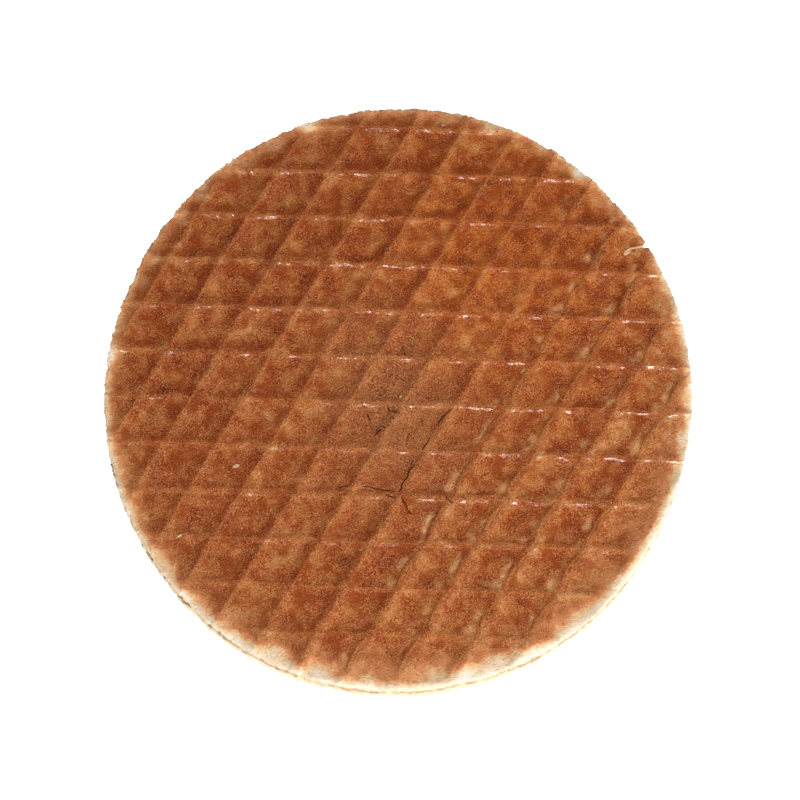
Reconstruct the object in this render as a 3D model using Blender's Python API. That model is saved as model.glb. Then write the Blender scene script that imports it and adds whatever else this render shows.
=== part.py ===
"""A stroopwafel: two round waffle halves with a layer of caramel syrup between them.

Run it with blender --background --python part.py, or from the Text Editor.
Lengths are in metres and +Z is up. The origin is the middle of the underside,
in the plane of the ridge crests that the biscuit rests on.
"""

import math
import random

import bmesh
import bpy
from mathutils import Matrix, Vector

# The round biscuit and its three layers.
DIAMETER = 0.080  # across the cut edge
WAFER_THICKNESS = 0.0027  # one half, up to its ridge crests
SYRUP_THICKNESS = 0.0014
SYRUP_INSET = 0.0005  # how far the syrup stops short of the cut edge
LAYER_GAP = 0.0003  # clearance between a half and the syrup

# The baked edges, on the outer face of each half and round the syrup.
EDGE_ROUNDING = 0.0005
EDGE_STEPS = 2
RIM_SEGMENTS = 120

# The outline is a circle pressed a little out of round, with small bumps.
# Each wave is (lobes, height, angle of the first crest in degrees).
OUTLINE_WAVES = ((2, 0.00015, 27.0), (6, 0.00007, 5.0))
BUMP_LOBES = range(11, 36, 4)
WAFER_BUMP = 0.00003  # height of one wave of bumps
SYRUP_BUMP = 0.00006

# The waffle iron's pattern: two families of parallel ridges that cross at about
# 60 degrees and leave rhombic recesses between them.
LEVEL_ANGLE = math.radians(-1.9)  # ridges that run across
SLANTED_ANGLE = math.radians(59.0)  # ridges that run up to the right
LEVEL_PITCH = 0.00638  # from one level ridge to the next, square to them
SLANTED_PITCH = 0.00626
CREST_WIDTH = 0.0009  # flat top of a ridge
FOOT_WIDTH = 0.0026  # ridge at the recess floor
RECESS_DEPTH = 0.0006
DEPTH_SPREAD = 0.10  # share by which the depths differ
CUT_CLEARANCE = 0.0001  # how far the cutters stand out of the face
LEAST_BITE = 0.0012  # a recess that enters the outline by less is left out
TOP_CROSSING = Vector((0.00051, -0.00073))  # a ridge crossing on the upper face
UNDERSIDE_CROSSING = Vector((0.0, 0.0))

# A chip in the upper half's edge.
CHIP_ANGLE = math.radians(32.0)
CHIP_WIDTH = 0.0010
CHIP_REACH = 0.0008  # inwards from the outline
CHIP_DEPTH = 0.0016  # down from the ridge crests

SMOOTH_UP_TO = math.radians(25.0)
SAME_HEIGHT = 0.000001  # points closer than this in height lie in one face

RADIUS = DIAMETER / 2
SYRUP_BOTTOM = WAFER_THICKNESS + LAYER_GAP
TOP_BOTTOM = SYRUP_BOTTOM + SYRUP_THICKNESS + LAYER_GAP


def clear_scene():
    """Remove every object of the startup scene."""
    for obj in list(bpy.data.objects):
        bpy.data.objects.remove(obj, do_unlink=True)


def new_collection(name):
    collection = bpy.data.collections.new(name)
    bpy.context.scene.collection.children.link(collection)
    return collection


def new_material(name, colour, roughness):
    """A Principled material of one baked or boiled food surface."""
    material = bpy.data.materials.new(name)
    material.use_nodes = True
    shader = material.node_tree.nodes["Principled BSDF"]
    shader.inputs["Base Color"].default_value = (*colour, 1.0)
    shader.inputs["Roughness"].default_value = roughness
    shader.inputs["Metallic"].default_value = 0.0
    material.diffuse_color = (*colour, 1.0)
    return material


def new_object(name, mesh_data, collection, height=0.0):
    """Turn a bmesh into an object whose origin stands at the given height."""
    mesh = bpy.data.meshes.new(name)
    mesh_data.to_mesh(mesh)
    mesh_data.free()
    obj = bpy.data.objects.new(name, mesh)
    obj.location.z = height
    collection.objects.link(obj)
    return obj


def outline_radius(name, radius, bump, angle):
    """The distance from the middle to a layer's outline in one direction.

    The layer's name seeds its bumps, so each layer keeps its own outline.
    """
    phases = random.Random(name)
    for lobes, height, crest in OUTLINE_WAVES:
        radius += height * math.cos(lobes * (angle - math.radians(crest)))
    for lobes in BUMP_LOBES:
        radius += bump * math.cos(lobes * angle + phases.uniform(0.0, math.tau))
    return radius


def layer_mesh(name, radius, thickness, bump, rounded_heights):
    """A round layer on z = 0 with an uneven outline.

    rounded_heights are the faces, 0 or the thickness, whose edge is rounded.
    """
    mesh = bmesh.new()
    bmesh.ops.create_cone(
        mesh,
        cap_ends=True,
        segments=RIM_SEGMENTS,
        radius1=radius,
        radius2=radius,
        depth=thickness,
        matrix=Matrix.Translation((0.0, 0.0, thickness / 2)),
    )
    for height in rounded_heights:
        rim = [
            edge
            for edge in mesh.edges
            if all(abs(vert.co.z - height) < SAME_HEIGHT for vert in edge.verts)
        ]
        bmesh.ops.bevel(
            mesh,
            geom=rim,
            offset=EDGE_ROUNDING,
            segments=EDGE_STEPS,
            profile=0.5,
            affect="EDGES",
            clamp_overlap=False,
        )
    for vert in mesh.verts:
        angle = math.atan2(vert.co.y, vert.co.x)
        share = outline_radius(name, radius, bump, angle) / radius
        vert.co.x *= share
        vert.co.y *= share
    return mesh


def cell_edges():
    """The two sides of one rhombic cell, as vectors along the ridges."""
    crossing = math.sin(SLANTED_ANGLE - LEVEL_ANGLE)
    level = Vector((math.cos(LEVEL_ANGLE), math.sin(LEVEL_ANGLE)))
    slanted = Vector((math.cos(SLANTED_ANGLE), math.sin(SLANTED_ANGLE)))
    return level * (SLANTED_PITCH / crossing), slanted * (LEVEL_PITCH / crossing)


def recess_cutters(name, crossing, facing, collection):
    """One object that holds a truncated pyramid for every recess of a face.

    The face lies in z = 0, and facing is 1 for an upper face and -1 for an underside.
    """
    level, slanted = cell_edges()
    level.y *= facing
    slanted.y *= facing
    pitch = (LEVEL_PITCH + SLANTED_PITCH) / 2
    slope = (FOOT_WIDTH - CREST_WIDTH) / 2 / RECESS_DEPTH
    depths = random.Random(name)
    reach = math.ceil(DIAMETER / pitch / 2) + 3
    mesh = bmesh.new()
    for column in range(-reach, reach):
        for row in range(-reach, reach):
            depth = RECESS_DEPTH * (1 + depths.uniform(-DEPTH_SPREAD, DEPTH_SPREAD))
            corners = [
                crossing + level * (column + right) + slanted * (row + up)
                for right in (0, 1)
                for up in (0, 1)
            ]
            if min(corner.length for corner in corners) > RADIUS - LEAST_BITE:
                continue
            middle = sum(corners, Vector((0.0, 0.0))) / len(corners)
            mouth = 1 - (CREST_WIDTH - 2 * slope * CUT_CLEARANCE) / pitch
            floor = 1 - (CREST_WIDTH + 2 * slope * depth) / pitch
            cell = Matrix.Identity(4)
            cell.col[0].xy = level
            cell.col[1].xy = slanted
            cell.col[2].z = facing
            cell.col[3].xyz = (*middle, facing * (CUT_CLEARANCE - depth) / 2)
            bmesh.ops.create_cone(
                mesh,
                cap_ends=True,
                segments=4,
                radius1=floor / math.sqrt(2),
                radius2=mouth / math.sqrt(2),
                depth=depth + CUT_CLEARANCE,
                matrix=cell @ Matrix.Rotation(math.pi / 4, 4, "Z"),
            )
    bmesh.ops.recalc_face_normals(mesh, faces=mesh.faces)
    return as_cutter(new_object(name, mesh, collection))


def chip_cutter(name, collection):
    """A diamond-shaped prism that stands on the outline and points inwards."""
    mesh = bmesh.new()
    outline = outline_radius("wafer_top", RADIUS, WAFER_BUMP, CHIP_ANGLE)
    size = Vector((CHIP_REACH, CHIP_WIDTH / 2, CHIP_DEPTH, 1.0))
    bmesh.ops.create_cone(
        mesh,
        cap_ends=True,
        segments=4,
        radius1=1.0,
        radius2=1.0,
        depth=2.0,
        matrix=Matrix.Rotation(CHIP_ANGLE, 4, "Z")
        @ Matrix.Translation((outline, 0.0, 0.0))
        @ Matrix.Diagonal(size),
    )
    return as_cutter(new_object(name, mesh, collection))


def as_cutter(obj):
    obj.hide_render = True
    obj.display_type = "WIRE"
    return obj


def cut(obj, cutter):
    modifier = obj.modifiers.new(cutter.name, "BOOLEAN")
    modifier.operation = "DIFFERENCE"
    modifier.solver = "EXACT"
    modifier.object = cutter


def finish(obj, material):
    """Shade an object smooth up to its sharp edges and give it its material."""
    obj.data.materials.append(material)
    obj.data.shade_smooth()
    obj.data.set_sharp_from_angle(angle=SMOOTH_UP_TO)


def make_wafer_bottom(parts, cutters, material):
    """The lower half, whose ridges stand on z = 0 and whose upper face is flat."""
    name = "wafer_bottom"
    mesh = layer_mesh(name, RADIUS, WAFER_THICKNESS, WAFER_BUMP, (0.0,))
    wafer = new_object(name, mesh, parts)
    cut(wafer, recess_cutters("cut_underside", UNDERSIDE_CROSSING, -1, cutters))
    finish(wafer, material)
    return wafer


def make_caramel(parts, material):
    """The syrup layer, rounded at both edges where it was squeezed out."""
    name = "caramel"
    both_edges = (0.0, SYRUP_THICKNESS)
    mesh = layer_mesh(name, RADIUS - SYRUP_INSET, SYRUP_THICKNESS, SYRUP_BUMP, both_edges)
    finish(new_object(name, mesh, parts, SYRUP_BOTTOM), material)


def make_wafer_top(parts, cutters, material):
    """The upper half, with its ridges up, and a chip out of its edge."""
    name = "wafer_top"
    mesh = layer_mesh(name, RADIUS, WAFER_THICKNESS, WAFER_BUMP, (WAFER_THICKNESS,))
    wafer = new_object(name, mesh, parts, TOP_BOTTOM)
    recesses = recess_cutters("cut_upper_face", TOP_CROSSING, 1, cutters)
    chip = chip_cutter("cut_chip", cutters)
    for cutter in (recesses, chip):
        cutter.location.z = TOP_BOTTOM + WAFER_THICKNESS
        cut(wafer, cutter)
    finish(wafer, material)
    return wafer


def centre_on_origin(objects):
    """Slide the objects so that the middle of their common outline is x = y = 0."""
    points = [vert.co for obj in objects for vert in obj.data.vertices]
    for axis in (0, 1):
        values = [point[axis] for point in points]
        middle = (min(values) + max(values)) / 2
        for obj in objects:
            obj.location[axis] = -middle


def main():
    clear_scene()
    parts = new_collection("stroopwafel")
    cutters = new_collection("stroopwafel_cutters")
    browned = new_material("browned_wafer", (0.36, 0.12, 0.04), 0.6)
    syrup = new_material("caramel_syrup", (0.30, 0.10, 0.02), 0.3)
    wafers = [
        make_wafer_bottom(parts, cutters, browned),
        make_wafer_top(parts, cutters, browned),
    ]
    make_caramel(parts, syrup)
    centre_on_origin(wafers)


main()
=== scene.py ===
"""The looks of the stroopwafel: two browned waffle halves with pale cut edges, and the syrup between."""
import math
from functools import partial, reduce

import bmesh
import bpy
import numpy as np
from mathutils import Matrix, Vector


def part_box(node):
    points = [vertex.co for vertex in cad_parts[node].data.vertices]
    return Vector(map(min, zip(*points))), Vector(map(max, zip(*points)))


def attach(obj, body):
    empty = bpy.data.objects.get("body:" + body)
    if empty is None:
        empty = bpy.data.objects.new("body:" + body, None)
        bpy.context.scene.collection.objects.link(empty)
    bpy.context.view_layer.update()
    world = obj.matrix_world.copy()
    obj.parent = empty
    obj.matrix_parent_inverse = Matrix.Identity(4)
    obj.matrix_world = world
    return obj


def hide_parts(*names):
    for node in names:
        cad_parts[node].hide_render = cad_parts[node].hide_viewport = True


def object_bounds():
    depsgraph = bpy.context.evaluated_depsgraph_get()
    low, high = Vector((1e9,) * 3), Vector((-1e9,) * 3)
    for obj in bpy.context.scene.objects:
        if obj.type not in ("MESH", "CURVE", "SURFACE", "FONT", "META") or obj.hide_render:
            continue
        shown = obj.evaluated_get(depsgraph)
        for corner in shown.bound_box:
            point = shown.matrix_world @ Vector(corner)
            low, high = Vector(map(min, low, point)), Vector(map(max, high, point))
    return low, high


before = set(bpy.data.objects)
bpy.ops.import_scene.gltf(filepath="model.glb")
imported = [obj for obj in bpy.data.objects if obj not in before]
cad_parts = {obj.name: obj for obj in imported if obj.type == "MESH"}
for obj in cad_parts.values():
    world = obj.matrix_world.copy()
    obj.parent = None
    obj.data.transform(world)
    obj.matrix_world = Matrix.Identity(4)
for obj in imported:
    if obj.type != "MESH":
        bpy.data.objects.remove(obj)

CAD_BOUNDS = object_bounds()
MM = 0.001

# Heights of the layers, from the CAD parts in model.glb.
TOP_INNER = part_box("wafer_top")[0][2]
TOP_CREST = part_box("wafer_top")[1][2]
BOTTOM_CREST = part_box("wafer_bottom")[0][2]
BOTTOM_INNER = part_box("wafer_bottom")[1][2]
RADIUS = (CAD_BOUNDS[1][0] - CAD_BOUNDS[0][0] + CAD_BOUNDS[1][1] - CAD_BOUNDS[0][1]) / 4

# The waffle iron's pattern, as in the CAD model.
LEVEL_ANGLE = math.radians(-1.9)
SLANTED_ANGLE = math.radians(59.0)
LEVEL_PITCH = 6.38 * MM
SLANTED_PITCH = 6.26 * MM
TOP_CROSSING = (0.66 * MM, -0.74 * MM)
UNDERSIDE_CROSSING = (0.0, 0.0)

# Cross-sections of the ridges.
RIDGE_HEIGHT = 0.46 * MM
HIGHEST_RIDGE = 1.05  # as a share of that height
SLANTED_CREST = 0.06 * MM
LEVEL_CREST = 0.05 * MM
SLANTED_FLANKS = (1.25 * MM, 1.70 * MM)  # north-west and south-east
LEVEL_FLANKS = (1.20 * MM, 0.85 * MM)  # north and south
SHINGLE_LENGTH = 0.3 * MM  # how much longer the north-west flanks are to the east
FOOT_SOFTNESS = 0.3  # how gently a flank runs out
WOBBLE = 0.13 * MM  # how far a ridge strays from its straight line

# Each change is x, y and reach in millimetres, and how much is added at that place.
SLANTED_SHARE = 0.86  # how strongly the slanted ridges stand out
SLANTED_SHARE_CHANGES = ((20.0, 14.0, 15.0, -0.50), (-16.0, 20.0, 15.0, 0.12))
LEVEL_SHARE = 0.54
LEVEL_SHARE_CHANGES = ((20.0, 18.0, 12.0, -0.22), (22.0, -15.0, 16.0, 0.30), (0.0, 8.0, 15.0, 0.08))
SHARE_VARIATION = 0.32
SLANTED_SHIFTS = ((-18.0, 18.0, 14.0, 0.045),)  # in cells
LEVEL_SHIFTS = ((0.0, 24.0, 12.0, -0.025),)

# The rest of a baked face's relief.
BOWL_DEPTH = 0.15 * MM
BEAD_HEIGHT = 0.06 * MM
LUMP_HEIGHT = 0.09 * MM
GRAIN_HEIGHT = 0.035 * MM
SLANTED_CREASE = (0.15 * MM, 0.60 * MM)  # from the crest at a crossing, and how much more halfway
LEVEL_CREASE = (0.25 * MM, 0.35 * MM)
CREASE_DEPTH = 0.02 * MM
CREASE_REACH = 0.22 * MM
LIP_OFFSET = 0.32 * MM  # from the crease, towards the crest
LIP_HEIGHT = 0.09 * MM
LIP_REACH = 0.24 * MM
PATCH_OFFSET = 0.55 * MM  # from the crease, away from the crest
PATCH_REACH = 0.50 * MM
CORNER_PATCH = (1.35 * MM, 1.20 * MM)  # from the slanted and the level crest line
CORNER_REACH = (0.80 * MM, 1.10 * MM)
GREASED_OFFSET = 0.50 * MM
GREASED_HEIGHT = 0.11 * MM
CRACK_DEPTH = 0.20 * MM
CRACK_HALF_WIDTH = 0.08 * MM
CREST_MARGIN = 0.05 * MM
EDGE_WIDTH = 0.6 * MM
EDGE_DROP = 0.14 * MM

# Browning, from 0 for raw dough to 1 for burnt.
BAKE = 0.565
BAKE_CHANGES = ((0.0, -16.0, 10.0, 0.05), (-36.0, 3.0, 9.0, 0.10))
ORANGE_PLACE = (14.0, 20.0, 18.0)  # x, y and reach in millimetres
LESS_GREASED_PLACE = (22.0, 20.0, 11.0)
MIDDLE_NORTH = 1.0 * MM  # where the dull middle's centre lies
MIDDLE_REACH = (9 * MM, 13 * MM)
# The palest side faces the key light; its extra paleness is partly painted light.
PALE_LIT_SIDE = math.radians(-75.0)  # the way in which the crust is palest at its rim

# The mesh has this many steps to a cell, closer together on the ridges. It is
# split once more along the rim and three times along the cracks.
CELL_STEPS = 22
STEP_CROWDING = 0.5
RIM_BAND = 0.35 * MM
CRACK_BANDS = (0.50 * MM, 0.34 * MM, 0.24 * MM)
SHEET_MARGIN = 1.5 * MM
WALL_DEPTHS = (0.05, 0.12, 0.22, 0.36, 0.52, 0.68, 0.84, 1.0)
OVERHANG = 0.45 * MM  # how far a half's cut edge hangs over the syrup's side
OVERHANG_WIDTH = 1.1 * MM  # from the cut edge to the flat of the inner face
SYRUP_STEPS = 10
SYRUP_POINTS = 900
SYRUP_SETBACK = 0.60 * MM
SYRUP_BULGE = 0.30 * MM
SYRUP_GAP = 0.02 * MM

# The outline's waves, each as lobes, height and the angle of a crest. Ragged bumps go inwards from it.
OUTLINE_WAVES = ((1, 0.12 * MM, 95.0), (2, 0.15 * MM, 27.0), (2, 0.27 * MM, 90.0), (6, 0.07 * MM, 5.0))
OUTLINE_MARGIN = 0.16 * MM
RAGGED_SIDE = math.radians(150.0)
CHIP_ANGLE = math.radians(32.1)
CHIP_HALF_WIDTH = 0.42 * MM
CHIP_REACH = 0.75 * MM

# Open cracks across the upper face, as points in millimetres.
CRACKS = (
    ((6.9, -1.7), (6.3, -2.5), (5.5, -3.3)), ((4.3, -5.4), (3.9, -6.2), (3.3, -7.1)),
    ((2.1, -9.3), (1.5, -10.2), (1.1, -11.2), (0.4, -12.0), (0.5, -12.5), (0.0, -12.9)),
    ((-4.6, -12.2), (-4.0, -12.3), (-2.8, -12.6), (-1.9, -12.8), (-0.6, -12.9)),
    ((-8.1, -12.3), (-6.8, -12.1)), ((-1.5, -1.0), (-1.2, -1.7), (-0.3, -2.0)),
    ((-4.2, -2.2), (-3.9, -2.9)), ((-3.2, -5.2), (-2.3, -4.4)), ((1.1, -5.8), (1.6, -4.9)),
    ((0.5, -13.8), (1.0, -14.7), (1.7, -16.0)), ((-1.7, -13.3), (-0.5, -13.8)),
    ((6.4, -13.8), (7.3, -14.5)), ((13.4, 37.0), (13.5, 37.0)), ((26.0, 25.1), (26.1, 25.1)),
    ((1.9, -8.8), (1.9, -8.9)), ((35.9, 6.6), (35.9, 6.5)),
)

# Pale torn spots on the upper face: x, y, half length, half width in millimetres
# and the long axis's angle in degrees. The first lies at the chip.
SCUFFS = (
    (31.2, 20.25, 0.62, 0.32, 45.0),
    (-21.9, -9.4, 0.45, 0.25, 20.0),
    (6.1, 37.9, 0.20, 0.16, 0.0),
    (0.35, 0.15, 0.20, 0.16, 30.0),
    (-29.5, -19.0, 0.40, 0.14, 35.0),
)
CHIP_CRACK = ((33.5, 21.1), (32.6, 20.9), (31.5, 20.7))
CHIP_CRACK_HALF_WIDTH = 0.13 * MM

# Single spots on the upper face, at x and y in millimetres.
GREASE_DROPS = ((-26.4, 27.1), (-25.9, 26.4), (-29.9, 21.6), (-30.4, 20.6), (-22.7, 25.4), (-24.4, 25.1))
DROP_RADIUS = 0.32  # in millimetres, as is the reach of the spots at the rim
DROP_HEIGHT = 0.14 * MM
PALE_SPOTS = ((-12.3, 37.6), (12.3, 36.8), (24.4, 30.6), (-39.0, 5.8))
PALE_SPOT_REACH = 1.3
CHIP_BROWNING_REACH = 1.6

# -------- shapes of numbers


def smoothstep(low, high, value):
    share = np.clip((value - low) / (high - low), 0.0, 1.0)
    return share * share * (3 - 2 * share)


def bell(value, width):
    return np.exp(-((value / width) ** 2))


def near(x, y, across, up, reach):
    """1 at a place given in millimetres, falling off round it over its reach."""
    return bell(np.hypot(x - across * MM, y - up * MM), reach * MM)


def changed(x, y, start, changes):
    """A value with what is added to it round some places."""
    total = np.full_like(x, start)
    for across, up, reach, amount in changes:
        total += amount * near(x, y, across, up, reach)
    return total


def eastern(x, y):
    """1 in the east of a face, where the slanted ridges lie like shingles, and 0 in its west."""
    return smoothstep(2 * MM, 18 * MM, x - 0.3 * y)


def noise(x, y, size, seed):
    """Smooth noise from about -1 to 1 whose features are size millimetres across."""
    table = 512
    angles = np.random.default_rng(seed).uniform(0.0, math.tau, (table, table))
    u = x / (size * MM) + table / 2
    v = y / (size * MM) + table / 2
    column = np.floor(u).astype(int)
    row = np.floor(v).astype(int)
    u = u - column
    v = v - row

    def corner(right, up):
        angle = angles[(column + right) % table, (row + up) % table]
        return np.cos(angle) * (u - right) + np.sin(angle) * (v - up)

    across = u * u * u * (u * (6 * u - 15) + 10)
    along = v * v * v * (v * (6 * v - 15) + 10)
    low = corner(0, 0) * (1 - across) + corner(1, 0) * across
    high = corner(0, 1) * (1 - across) + corner(1, 1) * across
    return 1.6 * (low * (1 - along) + high * along)


def fractal(x, y, size, seed, octaves=3):
    """Noise with finer and weaker noise on top."""
    total = np.zeros_like(x)
    share = 1.0
    for octave in range(octaves):
        total += share * noise(x, y, size / 2**octave, seed + 100 * octave)
        share /= 2
    return total


def cell_noise(column, row, seed):
    """One random number from -1 to 1 for each cell."""
    table = 64
    values = np.random.default_rng(seed).uniform(-1.0, 1.0, (table, table))
    return values[column.astype(int) % table, row.astype(int) % table]


def distance_to_line(x, y, line):
    """Distance from each point to a broken line given in millimetres."""
    nearest = np.full_like(x, 1.0)
    for (x0, y0), (x1, y1) in zip(line, line[1:]):
        ax, ay = x0 * MM, y0 * MM
        dx, dy = (x1 - x0) * MM, (y1 - y0) * MM
        share = np.clip(((x - ax) * dx + (y - ay) * dy) / (dx * dx + dy * dy), 0.0, 1.0)
        nearest = np.minimum(nearest, np.hypot(x - ax - share * dx, y - ay - share * dy))
    return nearest


def distance_to_scuffs(x, y):
    """The distance outside the nearest torn spot or the chip's crack, and less than 0 inside."""
    nearest = distance_to_line(x, y, CHIP_CRACK) - CHIP_CRACK_HALF_WIDTH
    for across, up, length, width, degrees in SCUFFS:
        u = x - across * MM
        v = y - up * MM
        turn = math.radians(degrees)
        along = (u * math.cos(turn) + v * math.sin(turn)) / (length * MM)
        aside = (v * math.cos(turn) - u * math.sin(turn)) / (width * MM)
        nearest = np.minimum(nearest, (np.hypot(along, aside) - 1) * width * MM)
    return nearest


def distance_to_cracks(x, y):
    """The distance to the nearest crack, whose line wanders a little."""
    nearest = np.full_like(x, 1.0)
    x = x + 0.15 * MM * noise(x, y, 1.1, 60)
    y = y + 0.15 * MM * noise(x, y, 1.1, 61)
    for line in CRACKS:
        nearest = np.minimum(nearest, distance_to_line(x, y, line))
    return nearest


# -------- the ridge pattern


class Lattice:
    """The two families of ridges on one face. Coordinates are cells along each family."""

    def __init__(self, crossing, mirrored):
        turn = -1.0 if mirrored else 1.0
        spread = math.sin(SLANTED_ANGLE - LEVEL_ANGLE)
        self.origin = np.array(crossing)
        level = np.array((math.cos(LEVEL_ANGLE), turn * math.sin(LEVEL_ANGLE)))
        slanted = np.array((math.cos(SLANTED_ANGLE), turn * math.sin(SLANTED_ANGLE)))
        self.level_side = level * SLANTED_PITCH / spread
        self.slanted_side = slanted * LEVEL_PITCH / spread
        self.inverse = np.linalg.inv(np.column_stack((self.level_side, self.slanted_side)))
        self.level_normal = turn * np.array((level[1], -level[0]))
        self.slanted_normal = turn * np.array((slanted[1], -slanted[0]))

    def place(self, s, t):
        return [
            start + level * s + slanted * t
            for start, level, slanted in zip(self.origin, self.level_side, self.slanted_side)
        ]

    def cells(self, x, y):
        dx = x - self.origin[0]
        dy = y - self.origin[1]
        return [across * dx + up * dy for across, up in self.inverse]


def ridge(distance, crest, flanks, share):
    """A ridge's cross-section, a share of the full height at its crest, with nearly straight flanks."""
    rounded = np.sqrt(distance**2 + crest**2) - crest
    rest = 1 - rounded / np.where(distance < 0, flanks[0], flanks[1])
    return np.clip(0.5 * (rest + np.sqrt(rest**2 + FOOT_SOFTNESS**2)) * share, 0, HIGHEST_RIDGE)


def round_path(angle):
    """Points round a circle, along which noise is read without a seam."""
    return RADIUS * np.cos(angle), RADIUS * np.sin(angle)


def outline(angle, seed):
    """The distance from the middle to a half's cut edge."""
    radius = np.full_like(angle, RADIUS + OUTLINE_MARGIN)
    for lobes, height, crest in OUTLINE_WAVES:
        radius += height * np.cos(lobes * (angle - math.radians(crest)))
    x, y = round_path(angle)
    radius -= 0.08 * MM * (1 + noise(x, y, 5.0, seed))
    radius -= 0.22 * MM * np.abs(noise(x, y, 2.0, seed + 1))
    # The left side is the most ragged.
    ragged = 0.65 + 0.35 * np.cos(angle - RAGGED_SIDE)
    radius -= 0.30 * MM * ragged * np.abs(noise(x, y, 0.9, seed + 2))
    radius -= 0.24 * MM * ragged * np.abs(noise(x, y, 0.45, seed + 3))
    return radius


def chip(angle):
    """How far the chip in the upper half's edge cuts in."""
    across = np.abs((angle - CHIP_ANGLE + math.pi) % math.tau - math.pi) * RADIUS
    return CHIP_REACH * np.clip(1 - across / CHIP_HALF_WIDTH, 0.0, 1.0)


class Face:
    """A baked outer face of one half: its ridges and its outline."""

    def __init__(self, lattice, seed, shown):
        self.lattice = lattice
        self.seed = seed
        self.shown = shown

    def edge(self, angle):
        radius = outline(angle, self.seed)
        return radius - chip(angle) if self.shown else radius

    def inwards(self, x, y):
        return self.edge(np.arctan2(y, x)) - np.hypot(x, y)

    def ridges(self, x, y):
        """The ridge height from 0 to 1, the cell's coordinates and the distance from each crest line."""
        s, t = self.lattice.cells(
            x + WOBBLE * fractal(x, y, 3.0, self.seed + 10),
            y + WOBBLE * fractal(x, y, 3.0, self.seed + 11),
        )
        s = s + changed(x, y, 0.0, SLANTED_SHIFTS)
        t = t + changed(x, y, 0.0, LEVEL_SHIFTS)
        slanted = (s - np.round(s)) * SLANTED_PITCH
        level = -(t - np.round(t)) * LEVEL_PITCH
        # How strongly each family stands out changes slowly across the face.
        west = smoothstep(-8 * MM, -25 * MM, x) * smoothstep(10 * MM, 0.0, y)
        slanted_share = changed(x, y, SLANTED_SHARE, SLANTED_SHARE_CHANGES)
        slanted_share += 0.25 * smoothstep(5 * MM, 30 * MM, x - y) - 0.18 * west
        slanted_share *= 1 + SHARE_VARIATION * noise(x, y, 6, self.seed + 12)
        level_share = changed(x, y, LEVEL_SHARE, LEVEL_SHARE_CHANGES)
        level_share += 0.11 * y / (20 * MM) - 0.16 * west
        level_share *= 1 + SHARE_VARIATION * noise(x, y, 5, self.seed + 13)
        flanks = (SLANTED_FLANKS[0] + SHINGLE_LENGTH * eastern(x, y), SLANTED_FLANKS[1])
        slanted_ridge = ridge(slanted, SLANTED_CREST, flanks, slanted_share)
        level_ridge = ridge(level, LEVEL_CREST, LEVEL_FLANKS, level_share)
        return 1 - (1 - slanted_ridge) * (1 - level_ridge), s, t, slanted, level


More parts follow.
